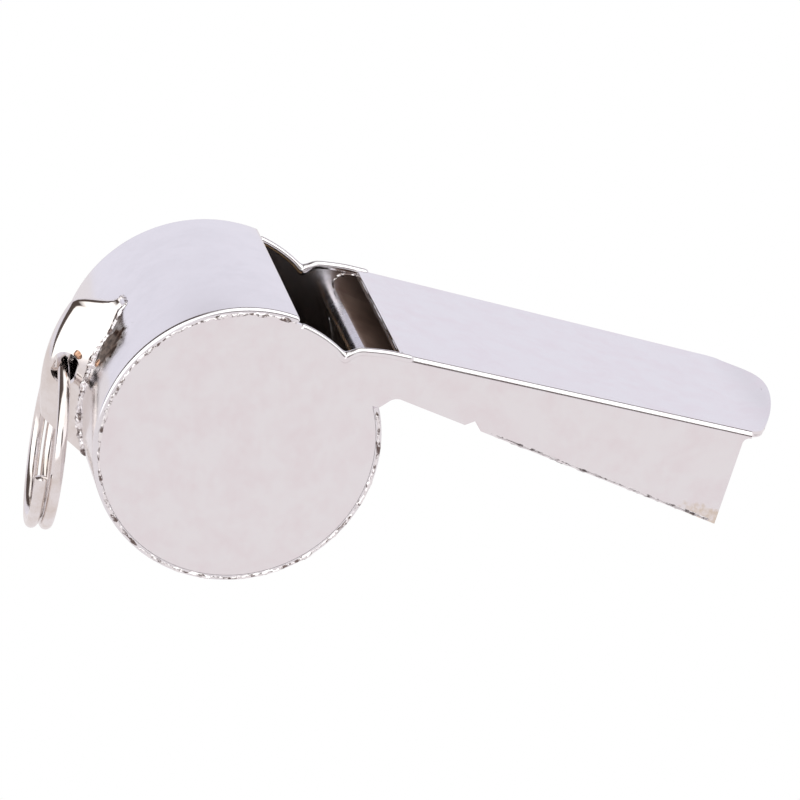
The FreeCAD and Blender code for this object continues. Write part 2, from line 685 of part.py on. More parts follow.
# --------------------------------------------------------------------------------------------- seams
# Beads of braze: round the side plates where they meet the band, and along the mouthpiece.
for placed in (shell, band, lug, lug_seam):
    placed.Placement = STAND
pea.Placement = pea_place
moved = [shell, band, lug, lug_seam, pea]
doc.recompute()


def cut_from(name, solid, label):
    """What is left of a bead outside the shell and the band."""
    first = doc.addObject("Part::Cut", name + "_over_shell")
    first.Base = solid
    first.Tool = shell
    second = doc.addObject("Part::Cut", name)
    second.Base = first
    second.Tool = band
    second.Label = label
    return second


def bead_parts(side, hand):
    """Both seams of one side; hand is +1 on the far side and -1 on the near side."""
    lean = math.radians(val("side_taper"))
    normal = V(math.sin(lean), hand * math.cos(lean), 0)
    start = polar(1, val("band_front_angle" if hand > 0 else "window_angle"))
    bead = new_body("barrel_seam_" + side)
    profile = new_sketch(bead, "bead_profile", "XZ_Plane")
    inner = "(dims.barrel_radius - dims.sheet - dims.barrel_bead_inset)"
    outer = "(dims.barrel_radius - dims.shoulder_chamfer)"
    polygon(profile, [
        (inner, "0"),
        (outer, "0"),
        (outer + " - dims.barrel_bead_flank", "dims.barrel_bead_rise"),
        (inner + " + dims.barrel_bead_flank", "dims.barrel_bead_rise"),
    ])
    turned = bead.newObject("PartDesign::Revolution", "bead")
    turned.Profile = profile
    turned.ReferenceAxis = (profile, ["V_Axis"])
    turned.setExpression("Angle", "360 + dims.band_front_angle - dims.window_angle")
    doc.recompute()
    bead.Placement = STAND * FreeCAD.Placement(
        V(0, hand * half_width, 0), FreeCAD.Rotation(start, V(0, 0, 0), normal, "ZXY"))

    start_x = val("relief_reach") + val("relief_width") / 2 + val("mouth_bead_gap")
    end_x = tip_reach - val("mouth_bead_setback")
    lift = val("mouth_bead") - val("mouth_bead_rise")
    ends = []
    for x in (start_x, end_x):
        share = (x - throat_corner.x) / (tip_corner.x - throat_corner.x)
        z = throat_corner.z + (tip_corner.z - throat_corner.z) * share
        ends.append(V(x, hand * (side_at(x) - sheet_thickness), z + lift))
    rod = doc.addObject("Part::Cylinder", "mouth_bead_" + side)
    rod.setExpression("Radius", "dims.mouth_bead")
    rod.Height = (ends[1] - ends[0]).Length
    rod.Placement = STAND * FreeCAD.Placement(ends[0], FreeCAD.Rotation(V(0, 0, 1), ends[1] - ends[0]))
    moved.extend([bead, rod])
    return bead, cut_from("mouth_seam_" + side, rod, "mouth_seam_" + side)


far_seams = bead_parts("left", 1)
near_seams = bead_parts("right", -1)
doc.recompute()

# -------------------------------------------------------------------------------------------- split ring
# One coiled wire: arcs in pairs along a helix, swept by a round section.
wire_radius = val("ring_wire") / 2
coil_radius = val("ring_outside") / 2 - wire_radius
first_end = val("ring_first_end")
turned = first_end + val("ring_last_end")
outward = polar(1, val("eye_angle"))
downward = polar(1, val("eye_angle") + 90)
lean = math.radians(val("ring_lean"))
yaw = math.radians(val("ring_yaw"))
fall = outward * math.cos(lean) + downward * math.sin(lean)
facing = Y_AXIS.cross(fall)
if facing.dot(outward) > 0:
    facing = facing * -1
sideways = Y_AXIS * math.cos(yaw) + facing * math.sin(yaw)
coil_axis = facing * math.cos(yaw) - Y_AXIS * math.sin(yaw)
step = val("ring_step")


def coil_point(progress):
    around = math.radians(first_end - progress)
    point = eye_centre + fall * (coil_radius * (1 - math.cos(around)))
    point = point + sideways * (coil_radius * math.sin(around))
    return point + coil_axis * (step * (progress - first_end) / 360)


def coil_tangent(progress):
    around = math.radians(first_end - progress)
    run = fall * (-coil_radius * math.sin(around)) - sideways * (coil_radius * math.cos(around))
    return (run + coil_axis * (step / (2 * math.pi))).normalize()


def through(start, tangent, end):
    """Arc from start along its tangent to end."""
    chord = end - start
    aside = chord - tangent * chord.dot(tangent)
    radius = chord.Length ** 2 / (2 * aside.Length)
    centre = start + aside.normalize() * radius
    outwards = start + end - centre * 2
    return Part.Arc(start, centre + outwards.normalize() * radius, end).toShape()


pieces = 6
edges = []
for i in range(pieces):
    begin = turned * i / pieces
    finish = turned * (i + 1) / pieces
    p0, p1 = coil_point(begin), coil_point(finish)
    t0, t1 = coil_tangent(begin), coil_tangent(finish)
    v = p1 - p0
    vt = v.dot(t0 + t1)
    factor = 2 * (1 - t0.dot(t1))
    d = (-vt + math.sqrt(vt * vt + factor * v.dot(v))) / factor
    middle = (p0 + t0 * d + p1 - t1 * d) * 0.5
    middle_tangent = (p1 - t1 * d - p0 - t0 * d).normalize()
    edges.append(through(p0, t0, middle))
    edges.append(through(middle, middle_tangent, p1))
path = Part.Wire(edges)
section = Part.Wire(Part.makeCircle(wire_radius, coil_point(0), coil_tangent(0)))
sweep = Part.BRepOffsetAPI.MakePipeShell(path)
sweep.add(section)
sweep.build()
sweep.makeSolid()
split_ring = doc.addObject("Part::Feature", "split_ring")
split_ring.Label = "split_ring"
split_ring.Shape = sweep.shape()
split_ring.Placement = STAND
moved.append(split_ring)

samples = [coil_point(turned * i / 720) for i in range(721)]
apart = int(720 * 180 / turned)
least_gap = min(
    samples[i].distanceToPoint(samples[j]) for i in range(0, 721, 4) for j in range(i + apart, 721)
) - 2 * wire_radius
print("least gap of the split ring to itself: %.3f mm" % least_gap)

# ------------------------------------------------------------------------------------------------ origin
# The origin is under the middle of the whole whistle, on the surface that it stands on.
nodes = [shell, band, lug, lug_seam, far_seams[0], near_seams[0], far_seams[1], near_seams[1], pea, split_ring]
extent = FreeCAD.BoundBox()
for node in nodes:
    extent.add(node.Shape.optimalBoundingBox(False, False))
shift = V(-extent.Center.x, 0, -extent.ZMin)
for placed in moved:
    placed.Placement = FreeCAD.Placement(shift, FreeCAD.Rotation()) * placed.Placement
doc.recompute()

# ------------------------------------------------------------------------------------------------ checks
for item in doc.Objects:
    if "Invalid" in item.State or "Error" in item.State:
        raise RuntimeError("%s is %s" % (item.Name, item.State))
    if item.isDerivedFrom("Sketcher::SketchObject") and item.solve() != 0:
        raise RuntimeError("%s doesn't solve" % item.Name)
for node in nodes:
    shape = node.Shape
    if shape.isNull() or not shape.isValid() or len(shape.Solids) != 1 or shape.Volume <= 0:
        raise RuntimeError("%s has no sound solid" % node.Label)

os.makedirs("parts", exist_ok=True)
for node in nodes:
    node.Shape.exportStep("parts/%s.step" % node.Label)
whole = FreeCAD.BoundBox()
for node in nodes:
    whole.add(node.Shape.optimalBoundingBox(False, False))
print("whole, mm: x %.3f to %.3f, y %.3f to %.3f, z %.3f to %.3f" % (
    whole.XMin, whole.XMax, whole.YMin, whole.YMax, whole.ZMin, whole.ZMax))
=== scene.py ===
import math

import bmesh
import bpy
from mathutils import Matrix, Vector, noise


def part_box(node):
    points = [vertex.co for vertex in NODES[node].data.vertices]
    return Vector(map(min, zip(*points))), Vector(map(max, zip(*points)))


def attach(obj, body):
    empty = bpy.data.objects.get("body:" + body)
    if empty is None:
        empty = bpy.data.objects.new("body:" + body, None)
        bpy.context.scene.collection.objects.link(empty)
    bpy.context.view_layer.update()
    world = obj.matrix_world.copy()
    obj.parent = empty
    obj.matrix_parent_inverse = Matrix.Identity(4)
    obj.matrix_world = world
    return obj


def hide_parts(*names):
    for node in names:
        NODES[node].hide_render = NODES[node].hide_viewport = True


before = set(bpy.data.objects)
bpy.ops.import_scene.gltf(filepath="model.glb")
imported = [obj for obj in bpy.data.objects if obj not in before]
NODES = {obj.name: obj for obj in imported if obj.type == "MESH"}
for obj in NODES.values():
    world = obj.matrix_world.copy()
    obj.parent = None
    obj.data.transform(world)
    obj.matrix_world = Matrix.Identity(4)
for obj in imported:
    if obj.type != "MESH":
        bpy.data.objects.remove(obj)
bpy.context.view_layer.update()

SCENE = bpy.context.scene
MM = 0.001
HANDS = (("left", 1), ("right", -1))

# ---------------------------------------------------------------------------------------------- sizes
# Millimetres, in the whistle's own profile: X along the roof, Z square to it, both from the barrel's axis.
STAND = math.radians(19.451)
AXIS_X = -13.05975
BARREL = 10.5
SHEET = 0.45
HALF_WIDTH = 9.55
TAPER = math.tan(math.radians(1.85))
ROOF = 9.26
TIP = (36.6, 1.79)
THROAT = (10.1035, 6.0805)
# Rounding of a cut edge, as part of the sheet's thickness.
DEBURR = 0.45
# Places round the barrel in degrees: the window's edge, and the front where the floor's stretch begins.
WINDOW = 81.5
BAND_FRONT = 28.0


def place(x, y, z):
    """Profile millimetres to the standing frame in metres."""
    return Vector((
        (AXIS_X + x * math.cos(STAND) + z * math.sin(STAND)) * MM,
        y * MM,
        (BARREL - x * math.sin(STAND) + z * math.cos(STAND)) * MM,
    ))


def turn(x, y, z):
    """Profile direction to the standing frame."""
    return Vector((x * math.cos(STAND) + z * math.sin(STAND), y, -x * math.sin(STAND) + z * math.cos(STAND)))


def side_at(x):
    """Half the width over the plates at a place along the roof."""
    return HALF_WIDTH - TAPER * x


def polar(radius, degrees):
    """Profile X and Z of a point round the barrel's axis."""
    angle = math.radians(degrees)
    return radius * math.cos(angle), radius * math.sin(angle)


def ease(share):
    """Smooth step from 0 to 1."""
    share = min(max(share, 0.0), 1.0)
    return share * share * (3 - 2 * share)


# ------------------------------------------------------------------------------------------ materials
# Plate: its slow waves and fine pits, and the shares of its roughness at the cloud's low and high ends.
WAVE_SCALE, WAVE_DEPTH = 160.0, 0.0002
PIT_SCALE = 1500.0
GLOSSIEST, DULLEST = 0.7, 1.5
# Flux stain: its noise, how far that frays it, the distances at which it is whole and gone, and the noise
# at which it is darkest and lightest.
STAIN_SCALE, STAIN_RAGGED = 1900.0, 0.65
STAIN_WHOLE, STAIN_GONE = 0.70, 0.90
STAIN_DARKEST, STAIN_LIGHTEST = 0.42, 0.62
DULL_IOR = 1.1
# Cork: its grain and cells.
GRAIN_SCALE, CELL_SCALE, CELL_BUMP, CELL_DEPTH = 900.0, 1400.0, 0.6, 0.0002
CORK_BROWNS = [(0.35, (0.16, 0.09, 0.045)), (0.5, (0.42, 0.27, 0.14)), (0.7, (0.56, 0.39, 0.22))]
CORK_ROUGH = 0.85


def new_material(name):
    material = bpy.data.materials.new(name)
    material.use_nodes = True
    tree = material.node_tree
    shader = tree.nodes["Principled BSDF"]
    return material, tree, shader


def node(tree, kind, **values):
    """New node with values for its inputs or its settings."""
    item = tree.nodes.new(kind)
    for key, value in values.items():
        if key in item.inputs:
            item.inputs[key].default_value = value
        else:
            setattr(item, key, value)
    return item


def ramp(tree, stops, source):
    item = tree.nodes.new("ShaderNodeValToRGB")
    elements = item.color_ramp.elements
    while len(elements) < len(stops):
        elements.new(0.5)
    for element, (position, colour) in zip(elements, stops):
        element.position = position
        element.color = (*colour, 1)
    tree.links.new(source, item.inputs["Fac"])
    return item


def plated(name, colour, stain, rough, pits=0.05, waves=0.15, patch=420.0, clean=0.58, fade=0.23,
           pit_depth=0.00003):
    """Nickel plate over thin sheet, with slow waves, fine pits and stains.

    patch is the scale of the cloud that places the stains. They lie where it is low and are gone at its
    clean value.
    """
    material, tree, shader = new_material(name)
    link = tree.links.new
    where = node(tree, "ShaderNodeTexCoord")
    slow = node(tree, "ShaderNodeTexNoise", Scale=WAVE_SCALE, Detail=3.0)
    fine = node(tree, "ShaderNodeTexNoise", Scale=PIT_SCALE, Detail=4.0)
    cloud = node(tree, "ShaderNodeTexNoise", Scale=patch, Detail=6.0, Roughness=0.7)
    for item in (slow, fine, cloud):
        link(where.outputs["Object"], item.inputs["Vector"])
    tint = ramp(tree, [(clean - fade, stain), (clean, colour)], cloud.outputs["Fac"])
    link(tint.outputs["Color"], shader.inputs["Base Color"])
    gloss = node(tree, "ShaderNodeMapRange")
    gloss.inputs["To Min"].default_value = rough * GLOSSIEST
    gloss.inputs["To Max"].default_value = rough * DULLEST
    link(cloud.outputs["Fac"], gloss.inputs["Value"])
    link(gloss.outputs["Result"], shader.inputs["Roughness"])
    shader.inputs["Metallic"].default_value = 1.0
    wave = node(tree, "ShaderNodeBump", Strength=waves, Distance=WAVE_DEPTH)
    pit = node(tree, "ShaderNodeBump", Strength=pits, Distance=pit_depth)
    link(slow.outputs["Fac"], wave.inputs["Height"])
    link(fine.outputs["Fac"], pit.inputs["Height"])
    link(wave.outputs["Normal"], pit.inputs["Normal"])
    link(pit.outputs["Normal"], shader.inputs["Normal"])
    return material


def inner_shade_and_stain(name, colour, stain, metal):
    """Dark copy of the plate for inner faces, painted shade inside the whistle, with dull random patches."""
    material = plated(name, colour, stain, 0.30, pits=0.3, waves=0.5)
    material.node_tree.nodes["Principled BSDF"].inputs["Metallic"].default_value = metal
    return material


def cork(name):
    """Bark with brown grain and small cells."""
    material, tree, shader = new_material(name)
    where = node(tree, "ShaderNodeTexCoord")
    grain = node(tree, "ShaderNodeTexNoise", Scale=GRAIN_SCALE, Detail=6.0, Roughness=0.65)
    cells = node(tree, "ShaderNodeTexVoronoi", Scale=CELL_SCALE)
    for item in (grain, cells):
        tree.links.new(where.outputs["Object"], item.inputs["Vector"])
    tint = ramp(tree, CORK_BROWNS, grain.outputs["Fac"])
    tree.links.new(tint.outputs["Color"], shader.inputs["Base Color"])
    shader.inputs["Roughness"].default_value = CORK_ROUGH
    bump = node(tree, "ShaderNodeBump", Strength=CELL_BUMP, Distance=CELL_DEPTH)
    tree.links.new(cells.outputs["Distance"], bump.inputs["Height"])
    tree.links.new(bump.outputs["Normal"], shader.inputs["Normal"])
    return material


def flux_stain(material, spot, tilt, reach, dark, light, dull):
    """Ragged stain round a profile spot, with a reach along, across and square to the tilted direction.

    A dull stain hides the metal; the other kind only tints it.
    """
    tree = material.node_tree
    link = tree.links.new
    shader = tree.nodes["Principled BSDF"]
    plate = shader.inputs["Base Color"].links[0].from_socket
    where = node(tree, "ShaderNodeTexCoord")
    local = node(tree, "ShaderNodeMapping", vector_type="TEXTURE")
    local.inputs["Location"].default_value = place(*spot)
    local.inputs["Rotation"].default_value = (0, STAND - math.radians(tilt), 0)
    local.inputs["Scale"].default_value = [2 * part * MM for part in reach]
    away = node(tree, "ShaderNodeVectorMath", operation="LENGTH")
    ragged = node(tree, "ShaderNodeTexNoise", Scale=STAIN_SCALE, Detail=5.0)
    edge = node(tree, "ShaderNodeMath", operation="MULTIPLY_ADD")
    edge.inputs[1].default_value = STAIN_RAGGED
    link(where.outputs["Object"], local.inputs["Vector"])
    link(where.outputs["Object"], ragged.inputs["Vector"])
    link(local.outputs["Vector"], away.inputs[0])
    link(ragged.outputs["Fac"], edge.inputs[0])
    link(away.outputs["Value"], edge.inputs[2])
    clear = ramp(tree, [(STAIN_WHOLE, (0, 0, 0)), (STAIN_GONE, (1, 1, 1))], edge.outputs["Value"])
    tint = ramp(tree, [(STAIN_DARKEST, dark), (STAIN_LIGHTEST, light)], ragged.outputs["Fac"])
    blend = node(tree, "ShaderNodeMixRGB")
    link(clear.outputs["Color"], blend.inputs["Fac"])
    link(tint.outputs["Color"], blend.inputs["Color1"])
    link(plate, blend.inputs["Color2"])
    link(blend.outputs["Color"], shader.inputs["Base Color"])
    if dull:
        link(clear.outputs["Color"], shader.inputs["Metallic"])
        shader.inputs["IOR"].default_value = DULL_IOR


SHELL = plated("plated_shell", (0.87, 0.85, 0.86), (0.85, 0.80, 0.815), 0.16, waves=0.06)
BAND = plated("plated_band", (0.86, 0.84, 0.86), (0.82, 0.80, 0.82), 0.13)
LUG = plated("plated_lug", (0.84, 0.80, 0.78), (0.76, 0.70, 0.66), 0.08, waves=0.3)
WIRE = plated("plated_wire", (0.85, 0.81, 0.80), (0.74, 0.67, 0.62), 0.12, waves=0.05)
# Lighter copy of the plate for the rows of the strip's inner face that catch light at the bend: a painted
# highlight against the painted shade of the chamber and windway.
LIT_BEND_FACE = plated("plated_bend_lit", (0.74, 0.73, 0.79), (0.60, 0.56, 0.57), 0.24, pits=0.2, waves=0.3)
SHEARED = plated("sheared_edge", (0.62, 0.58, 0.59), (0.42, 0.38, 0.38), 0.35, pits=0.5, waves=0.4)
# Chamber and windway: dark copies of the plate, painted shade inside the whistle; the windway's copy is
# brown.
INSIDE = inner_shade_and_stain("chamber_painted_shade", (0.13, 0.11, 0.11), (0.08, 0.07, 0.07), 0.8)
WINDWAY = inner_shade_and_stain("windway_painted_shade", (0.26, 0.175, 0.14), (0.16, 0.10, 0.08), 0.3)
BRAZE = plated("plated_braze", (0.90, 0.87, 0.87), (0.17, 0.13, 0.12), 0.18, pits=0.9, waves=0.5,
               patch=1500.0, clean=0.50, fade=0.06, pit_depth=0.00012)
CRUST = plated("braze_crust", (0.66, 0.63, 0.64), (0.13, 0.11, 0.11), 0.3, pits=0.5, waves=0.6,
               patch=1500.0, clean=0.52, fade=0.1)
COPPER = plated("bare_copper", (0.70, 0.42, 0.28), (0.34, 0.19, 0.12), 0.25, pits=0.3, waves=0.4,
                patch=1800.0)
CORK = cork("cork")

# Flux left on the plate: brown beside the lug's bead, pale along the lower edge at the mouth's corners.
LUG_STAIN_ANGLE, LUG_STAIN_Y, LUG_STAIN_REACH = 161.3, -4.24, (3.0, 1.9, 1.9)
LUG_STAIN_TINTS = (0.035, 0.02, 0.015), (0.15, 0.105, 0.085)
MOUTH_STAIN_SPOT, MOUTH_STAIN_TILT = (TIP[0] - 0.6, 0, TIP[1] + 0.4), -9.2
MOUTH_STAIN_REACH = (2.4, 20.0, 0.8)
MOUTH_STAIN_TINTS = (0.75, 0.66, 0.57), (0.85, 0.80, 0.77)
lug_stain_x, lug_stain_z = polar(BARREL, LUG_STAIN_ANGLE)
lug_stain_spot = (lug_stain_x, LUG_STAIN_Y, lug_stain_z)
flux_stain(BAND, lug_stain_spot, LUG_STAIN_ANGLE, LUG_STAIN_REACH, *LUG_STAIN_TINTS, dull=True)
flux_stain(SHELL, MOUTH_STAIN_SPOT, MOUTH_STAIN_TILT, MOUTH_STAIN_REACH, *MOUTH_STAIN_TINTS, dull=False)

FINISH = {
    "folded_shell": SHELL, "wrapped_band": BAND, "ring_lug": LUG, "split_ring": WIRE, "cork_ball": CORK,
    "lug_seam": BRAZE, "barrel_seam_left": BRAZE, "barrel_seam_right": BRAZE,
    "mouth_seam_left": BRAZE, "mouth_seam_right": BRAZE,
}
for name, material in FINISH.items():
    for slot in NODES[name].material_slots:
        slot.material = material


# --------------------------------------------------------------------------------------- mesh makers
CREASE = 40
# Lumps of a bead: scale and strength of the fine ones beside the coarse ones, then the mean depth of their
# hollows and its change with the noise, as parts of the radius.
FINE_SCALE, FINE_SHARE = 2.7, 0.5
LUMP_BASE, LUMP_GAIN = 0.5, 0.7
# The first and last ring of a bead keep this part of its radius.
LEAST_END = 0.2


def loft(rings):
    """Points and faces of a capped skin through rings of equal length."""
    count = len(rings[0])
    points = [point for ring in rings for point in ring]
    faces = []
    for row in range(len(rings) - 1):
        for column in range(count):
            following = (column + 1) % count
            start, end = row * count, (row + 1) * count
            faces.append((start + column, start + following, end + following, end + column))
    last = (len(rings) - 1) * count
    faces.append(tuple(reversed(range(count))))
    faces.append(tuple(last + column for column in range(count)))
    return points, faces


def join(points, faces, more_points, more_faces):
    """Add a second skin to the lists of a first one."""
    base = len(points)
    faces += [tuple(base + index for index in face) for face in more_faces]
    points += more_points


def soften(mesh, crease):
    """Smooth shading but for edges sharper than the crease."""
    for polygon in mesh.polygons:
        polygon.use_smooth = True
    mesh.set_sharp_from_angle(angle=math.radians(crease))


def show(name, mesh):
    item = bpy.data.objects.new(name, mesh)
    SCENE.collection.objects.link(item)
    return item


def solid(name, points, faces, materials, choice=None, crease=CREASE):
    """Mesh object with outward normals; choice gives each face's material."""
    mesh = bpy.data.meshes.new(name)
    mesh.from_pydata([tuple(point) for point in points], [], faces)
    for material in materials:
        mesh.materials.append(material)
    if choice:
        for polygon, index in zip(mesh.polygons, choice):
            polygon.material_index = index
    work = bmesh.new()
    work.from_mesh(mesh)
    bmesh.ops.recalc_face_normals(work, faces=work.faces)
    work.to_mesh(mesh)
    work.free()
    soften(mesh, crease)
    return show(name, mesh)


def hand_over(item, body, slot, *nodes):
    """Tie a finished piece to its body and hide the nodes that it stands for. The slot, which names its
    finish, is not used.
    """
    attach(item, body)
    if nodes:
        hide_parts(*nodes)


def tube(path, radius, sides=14, rough=0.0, grain=1.0, seed=0.0, tip=1.0, share=None):
    """Rings of a round bead along a path of vectors in metres.

    rough lumps it and grain is the lumps' scale, tip is the length of its rounded ends in radii,
    and share gives each station its own part of the radius.
    """
    rings = []
    side = None
    count = len(path)
    for i, centre in enumerate(path):
        run = (path[min(i + 1, count - 1)] - path[max(i - 1, 0)]).normalized()
        if side is None:
            side = run.orthogonal().normalized()
        side = (side - run * side.dot(run)).normalized()
        other = run.cross(side)
        ends = min((path[i] - path[0]).length, (path[i] - path[-1]).length) / (radius * MM)
        swell = math.sqrt(max(1 - (1 - min(ends / tip, 1.0)) ** 2, LEAST_END ** 2))
        if share:
            swell *= share[i]
        ring = []
        for k in range(sides):
            angle = 2 * math.pi * k / sides
            outward = side * math.cos(angle) + other * math.sin(angle)
            spot = (centre + outward * radius * MM) / MM * grain + Vector((seed, seed, seed))
            lump = noise.noise(spot) + FINE_SHARE * noise.noise(spot * FINE_SCALE)
            part = min(1 - rough * (LUMP_BASE - LUMP_GAIN * lump), 1)
            ring.append(centre + outward * radius * MM * swell * part)
        rings.append(ring)
    return rings


def smooth(corners, pieces):
    """Points of a smooth curve through the corners."""
    spots = [Vector((x, z)) for x, z in corners]
    spots = [spots[0] * 2 - spots[1]] + spots + [spots[-1] * 2 - spots[-2]]
    result = []
    for a, b, c, d in zip(spots, spots[1:], spots[2:], spots[3:]):
        for i in range(pieces):
            t = i / pieces
            bow = (a * 2 - b * 5 + c * 4 - d) * t ** 2
            twist = (b * 3 - a - c * 3 + d) * t ** 3
            point = b * 2 + (c - a) * t + bow + twist
            result.append((point.x / 2, point.y / 2))
    result.append((spots[-2].x, spots[-2].y))
    return result


# ------------------------------------------------------------------------------------------ the strip
# One strip round the barrel from the window's edge, and one on through the bend to the mouthpiece's floor,
# which the first one laps by a little.
STRIP_LAP = 1.2
STRIP_STEP = 1.5
SHOULDER = 0.3
LARGEST_ROUND = 0.9
CORNER_STEPS = 6
BEND = 0.35
FLOOR_RAKE = 1.145
FLOOR_ROUND, FLOOR_INSET = SHEET / 8, SHEET - 0.04
EDGE_SHARES = (0.0, 0.1, 0.3, 0.6, 1.0)
FRONT_STEPS, BEND_STEPS, FLOOR_STEPS = 8, 12, 20
# Rows of the bend's inner face that catch light in the windway and take the lit copy of the plate, a painted
# highlight, and the order of the strip's materials.
BRIGHT_ROWS = 10
PLATE_PART, CHAMBER_PART, WINDWAY_PART, LIT_BEND_PART = range(4)


def strip_stations():
    """Stations round the barrel: outer point, inner point, shoulder's radius and inset from the side."""
    rounding = SHEET * DEBURR
    stations = []
    for share in EDGE_SHARES:
        inset = rounding - math.sqrt(rounding ** 2 - (rounding * (1 - share)) ** 2)
        angle = WINDOW + math.degrees(rounding * share / BARREL)
        stations.append((polar(BARREL - inset, angle), polar(BARREL - SHEET + inset, angle), SHOULDER, 0))
    sweep = 360 + BAND_FRONT + STRIP_LAP - WINDOW
    steps = int(sweep / STRIP_STEP)
    for i in range(1, steps + 1):
        angle = WINDOW + sweep * i / steps
        stations.append((polar(BARREL, angle), polar(BARREL - SHEET, angle), SHOULDER, 0))
    return stations


def floor_stations():
    """Stations up the barrel's front, round the bend and along the floor, set in between the plates."""
    slope = math.atan((THROAT[1] - TIP[1]) / (TIP[0] - THROAT[0])) + math.radians(FLOOR_RAKE)
    across = (math.sin(slope), math.cos(slope))
    along = (math.cos(slope), -math.sin(slope))
    level = TIP[0] * across[0] + TIP[1] * across[1] - BEND
    reach = math.sqrt((BARREL + BEND) ** 2 - level ** 2)
    centre = (along[0] * reach + across[0] * level, along[1] * reach + across[1] * level)
    meet = math.degrees(math.atan2(centre[1], centre[0]))
    stations = []
    for i in range(FRONT_STEPS + 1):
        angle = BAND_FRONT + (meet - BAND_FRONT) * i / FRONT_STEPS
        stations.append((polar(BARREL, angle), polar(BARREL - SHEET, angle)))
    finish = 90 - math.degrees(slope)
    for i in range(1, BEND_STEPS + 1):
        x, z = polar(1, meet + 180 + (finish - meet - 180) * i / BEND_STEPS)
        stations.append(((centre[0] + x * BEND, centre[1] + z * BEND),
                         (centre[0] + x * (BEND + SHEET), centre[1] + z * (BEND + SHEET))))
    low, high = stations[-1]
    tip_high = (TIP[0], TIP[1] + SHEET / math.cos(slope))
    for i in range(1, FLOOR_STEPS + 1):
        share = i / FLOOR_STEPS
        stations.append((between(low, TIP, share), between(high, tip_high, share)))
    return [(outer, inner, FLOOR_ROUND, FLOOR_INSET) for outer, inner in stations]


def between(start, end, share):
    """Point of a line at a share of its length."""
    return start[0] + (end[0] - start[0]) * share, start[1] + (end[1] - start[1]) * share


def strip_ring(outer, inner, rounding, inset):
    """Cross-section of the strip, with round outer corners."""
    depth = math.hypot(outer[0] - inner[0], outer[1] - inner[1])
    away = ((outer[0] - inner[0]) / depth, (outer[1] - inner[1]) / depth)
    rounding = min(rounding, depth * LARGEST_ROUND)
    half = side_at(outer[0]) - inset
    corner = []
    for i in range(CORNER_STEPS + 1):
        angle = math.pi / 2 * i / CORNER_STEPS
        drop = rounding * (1 - math.cos(angle))
        y = half - rounding * (1 - math.sin(angle))
        corner.append((outer[0] - away[0] * drop, y, outer[1] - away[1] * drop))
    far = corner + [(inner[0], side_at(inner[0]) - inset, inner[1])]
    near = [(x, -y, z) for x, y, z in reversed(far)]
    return [place(*point) for point in near[1:] + far + near[:1]]


def floor_parts(rows):
    """Material of the inner face in each row: the chamber's painted shade, the bend's bright rows with their
    painted highlight, then the windway's painted shade.
    """
    rest = rows - FRONT_STEPS - BRIGHT_ROWS
    return [CHAMBER_PART] * FRONT_STEPS + [LIT_BEND_PART] * BRIGHT_ROWS + [WINDWAY_PART] * rest


def make_band():
    points, faces, choice = [], [], []
    barrel, floor = strip_stations(), floor_stations()
    barrel_parts = [CHAMBER_PART] * (len(barrel) - 1)
    for stations, inner_parts in ((barrel, barrel_parts), (floor, floor_parts(len(floor) - 1))):
        rings = [strip_ring(*station) for station in stations]
        join(points, faces, *loft(rings))
        count = len(rings[0])
        for inner_part in inner_parts:
            choice += [inner_part if column == count - 2 else PLATE_PART for column in range(count)]
        choice += [PLATE_PART, PLATE_PART]
    # Inner face: painted shade in the chamber and windway, painted highlight on the bend's bright rows.
    band = solid("band_strip", points, faces, [BAND, INSIDE, WINDWAY, LIT_BEND_FACE], choice)
    hand_over(band, "whistle", "plated_sheet", "wrapped_band")


make_band()

# --------------------------------------------------------------------------------- seams of the plates
# Round each disc a lumpy low bead between the plate and the strip's shoulder, which drifts outward below.
SEAM_RADIUS = 10.05
SEAM_DRIFT, DRIFT_START, DRIFT_SPAN = 0.2, 190, 50
SEAM_BEAD = 0.2
SEAM_STEPS = 1100
SEAM_END = 0.6
# Under each plate a fillet in the corner and a thin crust of flux along the plate's lower edge:
# distance in from the plate's face, lift above its lower edge, radius and roughness.
MOUTH_BEADS = ((0.3, 0.12, 0.25, 0.5), (0.02, 0.13, 0.13, 1.0))
MOUTH_START, MOUTH_END = 17.8, TIP[0] - 0.5
MOUTH_STEPS = 260


def make_barrel_seam(side, hand):
    path = []
    sweep = 360 + BAND_FRONT - WINDOW - 2 * SEAM_END
    for i in range(SEAM_STEPS + 1):
        angle = WINDOW + SEAM_END + sweep * i / SEAM_STEPS
        x, z = polar(SEAM_RADIUS + SEAM_DRIFT * ease((angle - DRIFT_START) / DRIFT_SPAN), angle)
        path.append(place(x, hand * side_at(x), z))
    points, faces = loft(tube(path, SEAM_BEAD, sides=10, rough=1.0, grain=1.25, seed=hand * 7.0, tip=2.5))
    bead = solid("barrel_bead_" + side, points, faces, [BRAZE])
    hand_over(bead, "whistle", "braze", "barrel_seam_" + side)


def make_mouth_seam(side, hand):
    points, faces = [], []
    for inset, lift, radius, rough in MOUTH_BEADS:
        path = []
        for i in range(MOUTH_STEPS + 1):
            x = MOUTH_START + (MOUTH_END - MOUTH_START) * i / MOUTH_STEPS
            share = (x - THROAT[0]) / (TIP[0] - THROAT[0])
            z = THROAT[1] + (TIP[1] - THROAT[1]) * share + lift
            path.append(place(x, hand * (side_at(x) - inset), z))
        rings = tube(path, radius, sides=12, rough=rough, grain=1.6, seed=hand * 3.0, tip=2.0)
        join(points, faces, *loft(rings))
    bead = solid("mouth_bead_" + side, points, faces, [CRUST])
    hand_over(bead, "whistle", "braze", "mouth_seam_" + side)


for side, hand in HANDS:
    make_barrel_seam(side, hand)
    make_mouth_seam(side, hand)

